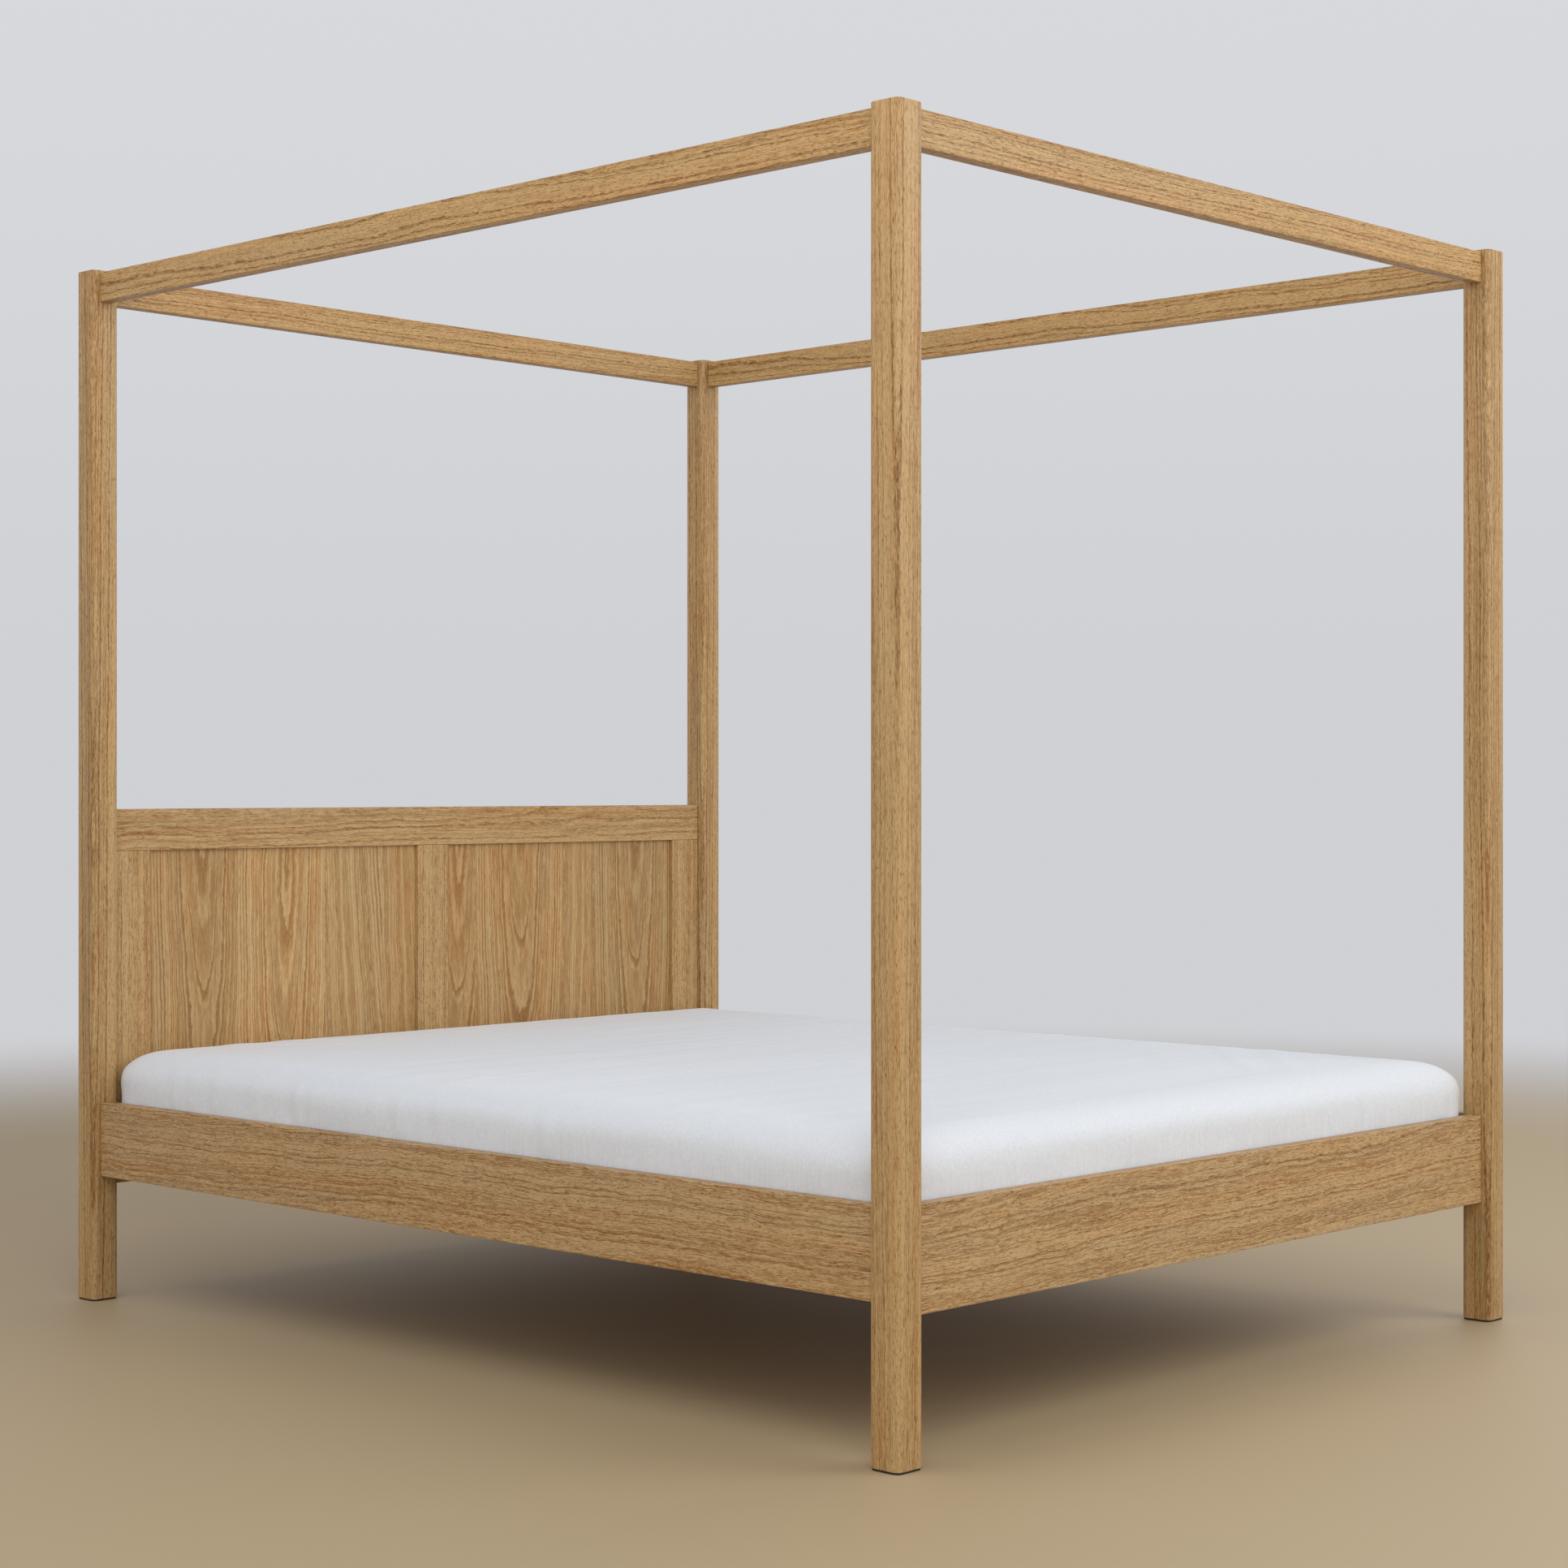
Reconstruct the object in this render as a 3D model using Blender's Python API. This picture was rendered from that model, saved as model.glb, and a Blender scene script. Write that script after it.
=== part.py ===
"""Four poster canopy bed in oak: posts, canopy frame, panelled headboard, slatted base and mattress.

Metres, +Z up. The origin is on the floor under the middle of the bed. +Y points to the headboard,
and +X to the right-hand side as seen from the foot.
"""

import math

import bmesh
import bpy
from mathutils import Matrix, Vector

# Overall size, outside to outside of the posts
WIDTH = 1.752
LENGTH = 2.166
HEIGHT = 2.032
GAP = 0.0003  # clearance wherever one piece meets or enters another

# Posts
POST = 0.060
POST_ROUNDING = 0.012
POST_SEGMENTS = 6
PAD_THICKNESS = 0.003
PAD_INSET = 0.0015
PEG_RADIUS = 0.004
PEG_LENGTH = 0.012

# Every rail is as thick as RAIL and centred on its posts
RAIL = 0.027
REVEAL = (POST - RAIL) / 2
EASE = 0.0015  # softened edges of the sawn pieces
SHARP_DEGREES = 35
CANOPY_TOP = HEIGHT - 0.0045
CANOPY_DEPTH = 0.058
LOWER_TOP = 0.391
SIDE_DEPTH = 0.145
END_DEPTH = 0.165  # foot rail and headboard bottom rail
HEADBOARD_TOP = 0.969
TOP_RAIL_DEPTH = 0.083
STILE = 0.085
PANEL = 0.010
PANEL_RECESS = 0.010
GROOVE = 0.012

# Joinery
TENON_LENGTH = 0.025
TENON_THICKNESS = 0.012
TENON_SHOULDER = 0.020
DOWEL_RADIUS = 0.004
DOWEL_IN_POST = 0.024
DOWEL_IN_RAIL = 0.046
DOWEL_STAGGER = 0.012
HOOK_PLATE = (0.016, 0.003, 0.110)
HOOK_LUG = (0.004, 0.009, 0.028)
HOOK_LUG_SPREAD = 0.030

# Slatted base
MATTRESS_BASE = 0.293
SLAT_COUNT = 14
SLAT_WIDTH = 0.080
SLAT_THICKNESS = 0.018
SLAT_TOP = MATTRESS_BASE - 0.001
SLAT_PITCH = 0.150
SLAT_END_GAP = 0.003
LEDGER = 0.025
LEDGER_END_GAP = 0.003
TAPE = (0.025, 0.0012)
TAPE_X = 0.420
BEAM = 0.040
BRACKET_PLATE = 0.003
BRACKET_REACH = 0.045
BRACKET_WIDTH = 0.080
CHEEK = 0.002
LEG_Y = -0.310
LEG_RADIUS = 0.016
LEG_BOTTOM = 0.031
FLANGE = (0.060, 0.060, 0.003)
STEM_RADIUS = 0.005
STEM_TOP = 0.060
STEM_CLEARANCE = 0.0004
FOOT_RADIUS = 0.020
LEVELLER_TRAVEL = 0.012
NUT_ACROSS_CORNERS = 0.0185
NUT_THICKNESS = 0.006

# Mattress
MATTRESS_TOP = 0.493
MATTRESS_SIDE_GAP = 0.003
MATTRESS_END_GAP = 0.0035
MATTRESS_CORNER = 0.055
MATTRESS_EDGE = 0.045
MATTRESS_FOOT_EDGE = 0.015

HALF_W = WIDTH / 2
HALF_L = LENGTH / 2
INNER_W = HALF_W - POST  # posts' inner faces, from the middle
INNER_L = HALF_L - POST
POST_X = HALF_W - POST / 2
POST_Y = HALF_L - POST / 2
RAIL_INNER_X = HALF_W - REVEAL - RAIL
RAIL_INNER_Y = HALF_L - REVEAL - RAIL
SLAT_BOTTOM = SLAT_TOP - SLAT_THICKNESS
SIDES = (("left", -1), ("right", 1))
ENDS = (("foot", -1), ("head", 1))


def material(name, colour, roughness, metallic=0.0):
    made = bpy.data.materials.new(name)
    made.use_nodes = True
    shader = made.node_tree.nodes["Principled BSDF"]
    shader.inputs["Base Color"].default_value = (*colour, 1)
    shader.inputs["Roughness"].default_value = roughness
    shader.inputs["Metallic"].default_value = metallic
    return made


def sized_cube(size):
    """A closed box mesh of this size, centred on its own origin."""
    bm = bmesh.new()
    bmesh.ops.create_cube(bm, size=1, matrix=Matrix.Diagonal((*size, 1)))
    return bm


def add_object(name, bm, centre, finish=None):
    """Turns the bmesh into an object; without a finish it is a hidden cutter or guide."""
    mesh = bpy.data.meshes.new(name)
    bmesh.ops.recalc_face_normals(bm, faces=bm.faces)
    bm.to_mesh(mesh)
    bm.free()
    mesh.shade_smooth()
    mesh.set_sharp_from_angle(angle=math.radians(SHARP_DEGREES))
    obj = bpy.data.objects.new(name, mesh)
    obj.location = centre
    bpy.context.scene.collection.objects.link(obj)
    if finish:
        mesh.materials.append(finish)
    else:
        obj.hide_render = True
        obj.display_type = "WIRE"
    return obj


def along(edge, axis):
    run = edge.verts[1].co - edge.verts[0].co
    return abs(run[axis]) > 0.999 * run.length


def rim(bm, z):
    """The edges whose two ends are both at this height."""
    return [e for e in bm.edges if all(abs(v.co.z - z) < 1e-6 for v in e.verts)]


def bevel(bm, edges, width, segments):
    bmesh.ops.bevel(bm, geom=edges, offset=width, segments=segments, profile=0.5, affect="EDGES")


def block(name, low, high, finish=None, ease=0.0):
    """A box between two corners, with its edges softened by ease."""
    low, high = Vector(low), Vector(high)
    bm = sized_cube(high - low)
    if ease:
        bevel(bm, bm.edges[:], ease, 2)
    return add_object(name, bm, (low + high) / 2, finish)


def turned(name, profile, centre, finish=None, segments=24):
    """A solid turned about Z from a profile of (radius, height) points that starts and ends on the axis."""
    bm = bmesh.new()
    points = [bm.verts.new((radius, 0, height)) for radius, height in profile]
    edges = [bm.edges.new(pair) for pair in zip(points, points[1:])]
    bmesh.ops.spin(
        bm, geom=points + edges, cent=(0, 0, 0), axis=(0, 0, 1), angle=math.tau, steps=segments
    )
    bmesh.ops.remove_doubles(bm, verts=bm.verts, dist=1e-6)
    return add_object(name, bm, centre, finish)


def rod(name, radius, start, end, finish=None, segments=16):
    """A plain cylinder between two points."""
    start, end = Vector(start), Vector(end)
    length = (end - start).length
    bm = bmesh.new()
    bmesh.ops.create_cone(
        bm, cap_ends=True, segments=segments, radius1=radius, radius2=radius, depth=length
    )
    made = add_object(name, bm, (start + end) / 2, finish)
    made.rotation_euler = (end - start).to_track_quat("Z", "Y").to_euler()
    return made


def boolean(target, tool, operation):
    modifier = target.modifiers.new(f"{operation.lower()} {tool.name}", "BOOLEAN")
    modifier.operation = operation
    modifier.object = tool


def cut_block(target, label, low, high):
    """Cuts the space of a box, with the working clearance all round, out of the target."""
    low, high = Vector(low) - Vector((GAP,) * 3), Vector(high) + Vector((GAP,) * 3)
    boolean(target, block(f"cut_{target.name}_{label}", low, high), "DIFFERENCE")


def weld(target, label, low, high):
    """Adds a box to the target, as one body with it."""
    boolean(target, block(f"add_{target.name}_{label}", low, high), "UNION")


def ordered(a, b):
    return (a, b) if a < b else (b, a)


def span(side, inner, outer):
    """The low and high coordinate of a stretch from inner to outer on the -1 or +1 side."""
    return ordered(side * inner, side * outer)


def make_post(name, side, end):
    height = HEIGHT - PAD_THICKNESS
    bm = sized_cube((POST, POST, height))
    bevel(bm, [e for e in bm.edges if along(e, 2)], POST_ROUNDING, POST_SEGMENTS)
    for z in (-height / 2, height / 2):
        bevel(bm, rim(bm, z), EASE, 2)
    centre = (side * POST_X, end * POST_Y, PAD_THICKNESS + height / 2)
    post = add_object(name, bm, centre, OAK)
    peg_top = PAD_THICKNESS + PEG_LENGTH
    bore = rod(f"cut_{name}_peg", PEG_RADIUS + GAP, (*centre[:2], -GAP), (*centre[:2], peg_top + GAP))
    boolean(post, bore, "DIFFERENCE")
    return post


def make_pad(name, side, end):
    """A thin glide under the post, held by a peg in the post's end."""
    size = POST - 2 * PAD_INSET
    thickness = PAD_THICKNESS - GAP
    bm = sized_cube((size, size, thickness))
    bevel(bm, [e for e in bm.edges if along(e, 2)], POST_ROUNDING - PAD_INSET, POST_SEGMENTS)
    x, y = side * POST_X, end * POST_Y
    pad = add_object(name, bm, (x, y, thickness / 2), BLACK_PLASTIC)
    peg = rod(f"add_{name}_peg", PEG_RADIUS, (x, y, thickness / 2), (x, y, PAD_THICKNESS + PEG_LENGTH))
    boolean(pad, peg, "UNION")


def cross_rail(name, end, top, depth, posts):
    """A rail across the bed between two posts, tenoned into both."""
    y = span(end, RAIL_INNER_Y, HALF_L - REVEAL)
    reach = INNER_W - GAP
    rail = block(name, (-reach, y[0], top - depth), (reach, y[1], top), OAK, EASE)
    shoulder = min(TENON_SHOULDER, depth / 4)
    tenon_y = sorted(end * POST_Y + step * TENON_THICKNESS / 2 for step in (-1, 1))
    for (label, side), post in zip(SIDES, posts):
        x = span(side, reach - EASE * 2, INNER_W + TENON_LENGTH)
        low = (x[0], tenon_y[0], top - depth + shoulder)
        high = (x[1], tenon_y[1], top - shoulder)
        weld(rail, f"tenon_{label}", low, high)
        cut_block(post, f"mortise_{name}", low, high)
    return rail


def side_rail(name, side, posts):
    """A side rail that hangs on a steel hook plate at each end."""
    x = span(side, RAIL_INNER_X, HALF_W - REVEAL)
    reach = INNER_L - GAP
    rail = block(name, (x[0], -reach, LOWER_TOP - SIDE_DEPTH), (x[1], reach, LOWER_TOP), OAK, EASE)
    plate_x, plate_y, plate_z = (size / 2 for size in HOOK_PLATE)
    lug_x, lug_y, lug_z = HOOK_LUG
    middle = LOWER_TOP - SIDE_DEPTH / 2
    for (label, end), post in zip(ENDS, posts):
        y = span(end, reach - 2 * plate_y, reach)
        low = (side * POST_X - plate_x, y[0], middle - plate_z)
        high = (side * POST_X + plate_x, y[1], middle + plate_z)
        plate = block(f"rail_hook_{label}_{name.split('_')[-1]}", low, high, ZINC_STEEL)
        cut_block(rail, f"recess_{label}", low, high)
        for step, level in enumerate((-HOOK_LUG_SPREAD, HOOK_LUG_SPREAD)):
            y = span(end, reach - plate_y, INNER_L + lug_y)
            lug_low = (side * POST_X - lug_x / 2, y[0], middle + level - lug_z / 2)
            lug_high = (side * POST_X + lug_x / 2, y[1], middle + level + lug_z / 2)
            weld(plate, f"lug_{step}", lug_low, lug_high)
            cut_block(post, f"slot_{name}_{step}", lug_low, lug_high)
    return rail


def dowel_joint(label, rail, post, start, end):
    """A steel dowel across the joint between a canopy rail and a post, in a bore in each."""
    name = f"canopy_dowel_{label}"
    rod(name, DOWEL_RADIUS, start, end, ZINC_STEEL)
    margin = (Vector(end) - Vector(start)).normalized() * GAP
    bore = rod(f"cut_{name}", DOWEL_RADIUS + GAP, Vector(start) - margin, Vector(end) + margin)
    boolean(rail, bore, "DIFFERENCE")
    boolean(post, bore, "DIFFERENCE")


def make_canopy(posts):
    bottom = CANOPY_TOP - CANOPY_DEPTH
    middle = CANOPY_TOP - CANOPY_DEPTH / 2
    for label, side in SIDES:
        x = span(side, RAIL_INNER_X, HALF_W - REVEAL)
        reach = INNER_L - GAP
        low, high = (x[0], -reach, bottom), (x[1], reach, CANOPY_TOP)
        rail = block(f"canopy_rail_{label}", low, high, OAK, EASE)
        for where, end in ENDS:
            start, stop = end * (INNER_L - DOWEL_IN_RAIL), end * (INNER_L + DOWEL_IN_POST)
            z = middle + DOWEL_STAGGER
            post = posts[label, where]
            dowel_joint(f"{label}_{where}", rail, post, (side * POST_X, start, z), (side * POST_X, stop, z))
    for label, end in ENDS:
        y = span(end, RAIL_INNER_Y, HALF_L - REVEAL)
        reach = INNER_W - GAP
        low, high = (-reach, y[0], bottom), (reach, y[1], CANOPY_TOP)
        rail = block(f"canopy_rail_{label}", low, high, OAK, EASE)
        for where, side in SIDES:
            start, stop = side * (INNER_W - DOWEL_IN_RAIL), side * (INNER_W + DOWEL_IN_POST)
            z = middle - DOWEL_STAGGER
            post = posts[where, label]
            dowel_joint(f"{label}_{where}", rail, post, (start, end * POST_Y, z), (stop, end * POST_Y, z))


def make_headboard(posts):
    """Top and bottom rails with a groove each, three stiles with stub tenons, and two loose panels."""
    head_posts = (posts["left", "head"], posts["right", "head"])
    bottom_rail = cross_rail("headboard_bottom_rail", 1, LOWER_TOP, END_DEPTH, head_posts)
    top_rail = cross_rail("headboard_top_rail", 1, HEADBOARD_TOP, TOP_RAIL_DEPTH, head_posts)
    front = RAIL_INNER_Y
    back = front + RAIL
    panel_y = (front + PANEL_RECESS, front + PANEL_RECESS + PANEL)
    low_edge = LOWER_TOP
    high_edge = HEADBOARD_TOP - TOP_RAIL_DEPTH
    reach = INNER_W - GAP
    for rail, z in (
        (bottom_rail, (low_edge - GROOVE, low_edge + EASE)),
        (top_rail, (high_edge - EASE, high_edge + GROOVE)),
    ):
        cut_block(rail, "groove", (-reach, panel_y[0], z[0]), (reach, panel_y[1], z[1]))

    stile_middle = INNER_W - STILE / 2
    stiles = {}
    for label, middle in (("left", -stile_middle), ("centre", 0.0), ("right", stile_middle)):
        half = STILE / 2 - GAP
        stile = block(
            f"headboard_stile_{label}",
            (middle - half, front, low_edge + GAP),
            (middle + half, back, high_edge - GAP),
            OAK,
            EASE,
        )
        tongue = GROOVE - GAP
        low = (middle - half + EASE, panel_y[0], low_edge - tongue)
        high = (middle + half - EASE, panel_y[1], high_edge + tongue)
        weld(stile, "stub_tenons", low, high)
        stiles[label] = stile

    panel_inner = STILE / 2 - GROOVE + 2 * GAP
    panel_outer = INNER_W - STILE + GROOVE - 2 * GAP
    edge = GROOVE - 2 * GAP
    for label, side in SIDES:
        x = span(side, panel_inner, panel_outer)
        low = (x[0], panel_y[0], low_edge - edge)
        high = (x[1], panel_y[1], high_edge + edge)
        block(f"headboard_panel_{label}", low, high, OAK_PANEL)
        for stile in (stiles[label], stiles["centre"]):
            cut_block(stile, f"groove_{label}", low, high)


def make_ledger(label, side):
    """The strip inside a side rail that the slats lie on."""
    x = span(side, RAIL_INNER_X - GAP - LEDGER, RAIL_INNER_X - GAP)
    reach = INNER_L - LEDGER_END_GAP
    top = SLAT_BOTTOM - GAP
    block(f"slat_ledger_{label}", (x[0], -reach, top - LEDGER), (x[1], reach, top), SLAT_WOOD, EASE)


def make_slats():
    reach = RAIL_INNER_X - SLAT_END_GAP
    first = -SLAT_PITCH * (SLAT_COUNT - 1) / 2
    for index in range(SLAT_COUNT):
        y = first + index * SLAT_PITCH
        low = (-reach, y - SLAT_WIDTH / 2, SLAT_BOTTOM)
        high = (reach, y + SLAT_WIDTH / 2, SLAT_TOP)
        block(f"slat_{index + 1:02d}", low, high, SLAT_WOOD, EASE)
    tape_width, tape_thickness = TAPE
    tape_reach = -first + SLAT_WIDTH / 2 - EASE
    top = SLAT_BOTTOM - GAP
    for label, side in SIDES:
        x = side * TAPE_X
        low = (x - tape_width / 2, -tape_reach, top - tape_thickness)
        block(f"slat_tape_{label}", low, (x + tape_width / 2, tape_reach, top), WEBBING)


def make_beam():
    """A timber beam under the middle of the slats, dropped into a steel cradle at each end."""
    top = SLAT_BOTTOM - GAP
    reach = RAIL_INNER_Y - GAP - BRACKET_PLATE - GAP
    half = BEAM / 2
    block("centre_beam", (-half, -reach, top - BEAM), (half, reach, top), SLAT_WOOD, EASE)
    for label, end in ENDS:
        make_cradle(label, end, top)


def make_cradle(label, end, beam_top):
    """A welded cradle: wall plate, shelf under the beam, and a cheek on each side of it."""
    wall = RAIL_INNER_Y - GAP
    floor = beam_top - BEAM - GAP
    plate_y = span(end, wall - BRACKET_PLATE, wall)
    reach_y = span(end, wall - BRACKET_REACH, wall - BRACKET_PLATE / 2)
    half = BRACKET_WIDTH / 2
    cheek_inner = BEAM / 2 + GAP
    cheek_outer = cheek_inner + CHEEK
    low = (-half, plate_y[0], floor - BRACKET_PLATE)
    cradle = block(f"beam_cradle_{label}", low, (half, plate_y[1], beam_top), BLACK_STEEL)
    shelf_top = (cheek_outer, reach_y[1], floor)
    weld(cradle, "shelf", (-cheek_outer, reach_y[0], floor - BRACKET_PLATE), shelf_top)
    for name, side in SIDES:
        x = span(side, cheek_inner, cheek_outer)
        low = (x[0], reach_y[0], floor - BRACKET_PLATE / 2)
        weld(cradle, f"cheek_{name}", low, (x[1], reach_y[1], beam_top - BEAM / 2))


def make_leg():
    """A steel leg under the beam, with a levelling foot whose stem runs up inside it and a nut that locks it."""
    top = SLAT_BOTTOM - GAP - BEAM - GAP
    centre = (0, LEG_Y, 0)
    bore = STEM_RADIUS + STEM_CLEARANCE
    bore_top = STEM_TOP + LEVELLER_TRAVEL + STEM_CLEARANCE * 5
    tube_top = top - FLANGE[2] / 2
    profile = (
        (0, bore_top),
        (bore, bore_top),
        (bore, LEG_BOTTOM),
        (LEG_RADIUS, LEG_BOTTOM),
        (LEG_RADIUS, tube_top),
        (0, tube_top),
    )
    leg = turned("centre_leg", profile, centre, BLACK_STEEL)
    half_x, half_y = FLANGE[0] / 2, FLANGE[1] / 2
    flange_low = (-half_x, LEG_Y - half_y, top - FLANGE[2])
    weld(leg, "flange", flange_low, (half_x, LEG_Y + half_y, top))
    foot = (
        (0, 0),
        (FOOT_RADIUS - 0.001, 0),
        (FOOT_RADIUS, 0.001),
        (FOOT_RADIUS, 0.006),
        (FOOT_RADIUS * 0.6, 0.009),
        (STEM_RADIUS, 0.010),
        (STEM_RADIUS, STEM_TOP),
        (0, STEM_TOP),
    )
    turned("levelling_foot", foot, centre, BLACK_PLASTIC)
    nut_top = LEG_BOTTOM - GAP
    nut_ends = [(0, LEG_Y, nut_top - NUT_THICKNESS), (0, LEG_Y, nut_top)]
    nut = rod("leg_lock_nut", NUT_ACROSS_CORNERS / 2, *nut_ends, ZINC_STEEL, 6)
    hole_ends = [(0, LEG_Y, 0), (0, LEG_Y, LEG_BOTTOM)]
    boolean(nut, rod("cut_leg_lock_nut_hole", bore, *hole_ends), "DIFFERENCE")


def make_mattress():
    half_x = RAIL_INNER_X - MATTRESS_SIDE_GAP
    low_y = -RAIL_INNER_Y + MATTRESS_END_GAP
    high_y = RAIL_INNER_Y - MATTRESS_END_GAP
    height = MATTRESS_TOP - MATTRESS_BASE
    bm = sized_cube((2 * half_x, high_y - low_y, height))
    bevel(bm, [e for e in bm.edges if along(e, 2)], MATTRESS_CORNER, 5)
    bevel(bm, rim(bm, height / 2), MATTRESS_EDGE, 5)
    bevel(bm, rim(bm, -height / 2), MATTRESS_FOOT_EDGE, 2)
    centre = (0, (low_y + high_y) / 2, MATTRESS_BASE + height / 2)
    add_object("mattress", bm, centre, MATTRESS_COVER)


for old in list(bpy.data.objects):
    bpy.data.objects.remove(old)

OAK = material("oak", (0.42, 0.27, 0.13), 0.5)
OAK_PANEL = material("oak_panel", (0.44, 0.28, 0.12), 0.5)
SLAT_WOOD = material("slat_wood", (0.62, 0.46, 0.28), 0.7)
BLACK_STEEL = material("black_steel", (0.02, 0.02, 0.02), 0.5, 0.4)
ZINC_STEEL = material("zinc_steel", (0.55, 0.56, 0.58), 0.35, 1.0)
BLACK_PLASTIC = material("black_plastic", (0.015, 0.015, 0.015), 0.6)
WEBBING = material("webbing", (0.75, 0.73, 0.68), 0.9)
MATTRESS_COVER = material("mattress_cover", (0.80, 0.80, 0.82), 0.9)

corner_posts = {}
for side_name, side_sign in SIDES:
    for end_name, end_sign in ENDS:
        corner = f"{end_name}_{side_name}"
        corner_posts[side_name, end_name] = make_post(f"post_{corner}", side_sign, end_sign)
        make_pad(f"foot_pad_{corner}", side_sign, end_sign)

make_canopy(corner_posts)
make_headboard(corner_posts)
cross_rail("foot_rail", -1, LOWER_TOP, END_DEPTH, [corner_posts[side, "foot"] for side, _ in SIDES])
for side_name, side_sign in SIDES:
    side_rail(f"side_rail_{side_name}", side_sign, [corner_posts[side_name, end] for end, _ in ENDS])
    make_ledger(side_name, side_sign)
make_slats()
make_beam()
make_leg()
make_mattress()
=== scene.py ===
"""The looks of an oak four poster bed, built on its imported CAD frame.

The oak, slats, steel, plastic and webbing keep their CAD shapes and get procedural materials. The mattress
solid is replaced by a padded core in a fitted sheet. The screws and staples are added here.
Everything is in metres, with +Z up, +Y towards the headboard and the floor at Z 0.
"""

import math

import bmesh
import bpy
from mathutils import Euler, Matrix, Vector, noise


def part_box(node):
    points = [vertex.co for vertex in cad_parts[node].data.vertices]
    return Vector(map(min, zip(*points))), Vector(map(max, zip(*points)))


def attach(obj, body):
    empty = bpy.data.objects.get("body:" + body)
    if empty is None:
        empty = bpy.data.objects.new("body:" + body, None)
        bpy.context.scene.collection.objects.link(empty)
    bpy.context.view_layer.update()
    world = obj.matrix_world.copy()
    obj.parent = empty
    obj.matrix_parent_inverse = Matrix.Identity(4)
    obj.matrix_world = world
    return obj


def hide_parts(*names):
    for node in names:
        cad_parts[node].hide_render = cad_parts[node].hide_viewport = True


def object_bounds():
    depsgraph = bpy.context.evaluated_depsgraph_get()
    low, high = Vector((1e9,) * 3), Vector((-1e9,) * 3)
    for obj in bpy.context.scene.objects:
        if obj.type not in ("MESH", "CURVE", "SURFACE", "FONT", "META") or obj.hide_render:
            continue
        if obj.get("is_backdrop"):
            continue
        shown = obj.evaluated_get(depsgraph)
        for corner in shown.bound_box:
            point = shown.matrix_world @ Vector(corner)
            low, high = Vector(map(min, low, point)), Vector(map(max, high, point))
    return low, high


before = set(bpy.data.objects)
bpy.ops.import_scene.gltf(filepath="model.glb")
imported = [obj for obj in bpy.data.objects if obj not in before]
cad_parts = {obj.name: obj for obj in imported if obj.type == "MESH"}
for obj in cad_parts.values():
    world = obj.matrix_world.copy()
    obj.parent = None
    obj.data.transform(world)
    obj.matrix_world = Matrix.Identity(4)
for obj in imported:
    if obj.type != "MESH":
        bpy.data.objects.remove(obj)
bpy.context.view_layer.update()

SLATS = [f"slat_{number:02d}" for number in range(1, 15)]

# ---------------------------------------------------------------- shader node helpers


class Tree:
    """Short calls that add shader nodes to one node tree and return the output asked for."""

    def __init__(self, tree):
        self.tree = tree

    def add(self, kind, inputs=(), output=0, **settings):
        """A node with its settings and inputs, given as values or as other nodes' outputs."""
        node = self.tree.nodes.new(kind)
        for name, value in settings.items():
            setattr(node, name, value)
        for name, value in dict(inputs).items():
            if isinstance(value, bpy.types.NodeSocket):
                self.tree.links.new(value, node.inputs[name])
            else:
                node.inputs[name].default_value = value
        return node.outputs[output]

    def math(self, operation, *values, clamp=False):
        return self.add("ShaderNodeMath", enumerate(values), operation=operation, use_clamp=clamp)

    def vector(self, operation, *values, output=0):
        return self.add("ShaderNodeVectorMath", enumerate(values), output, operation=operation)

    def noise(self, place, scale, detail=2.0, roughness=0.5):
        """Noise from 0 to 1, whose cells are 1/scale metres along each axis."""
        stretched = self.vector("MULTIPLY", place, scale)
        inputs = {"Vector": stretched, "Scale": 1.0, "Detail": detail, "Roughness": roughness}
        return self.add("ShaderNodeTexNoise", inputs)

    def by_ring(self, rings, scale, detail):
        """Noise from 0 to 1 along the count of a trunk's rings."""
        inputs = {"W": rings, "Scale": scale, "Detail": detail}
        return self.add("ShaderNodeTexNoise", inputs, noise_dimensions="1D")

    def wobble(self, place, scale, amount):
        """A shift across the grain, of up to about a quarter of amount each way."""
        stretched = self.vector("MULTIPLY", place, scale)
        inputs = {"Vector": stretched, "Scale": 1.0, "Detail": 1.0}
        shift = self.add("ShaderNodeTexNoise", inputs, "Color")
        shift = self.vector("SUBTRACT", shift, (0.5, 0.5, 0.5))
        return self.vector("MULTIPLY", shift, (amount, amount, 0))

    def smooth(self, value, start, end, low=0.0, high=1.0):
        """value eased from low at start to high at end, and flat outside them."""
        inputs = {"Value": value, "From Min": start, "From Max": end, "To Min": low, "To Max": high}
        return self.add("ShaderNodeMapRange", inputs, interpolation_type="SMOOTHSTEP")

    def mix(self, amount, a, b, blend="MIX"):
        """Colour a turned into colour b by amount."""
        inputs = {0: amount, 6: a, 7: b}
        return self.add("ShaderNodeMix", inputs, 2, data_type="RGBA", blend_type=blend, clamp_result=True)

    def ramp(self, value, stops):
        """A value run through a list of (place, level) stops, from 0 to 1."""
        node = self.tree.nodes.new("ShaderNodeValToRGB")
        self.tree.links.new(value, node.inputs[0])
        elements = node.color_ramp.elements
        while len(elements) < len(stops):
            elements.new(0.5)
        for element, (place, level) in zip(elements, stops):
            element.position = place
            element.color = (level, level, level, 1)
        return node.outputs[0]


def socket(bsdf, key):
    """The shader's input for a key such as base_color."""
    return next(s for s in bsdf.inputs if s.name.lower().replace(" ", "_") == key)


def material(name, **shader):
    """A material whose Principled BSDF has inputs given by name. Returns it, its Tree and the BSDF."""
    made = bpy.data.materials.new(name)
    made.use_nodes = True
    bsdf = made.node_tree.nodes["Principled BSDF"]
    for key, value in shader.items():
        socket(bsdf, key).default_value = value
    return made, Tree(made.node_tree), bsdf


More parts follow.
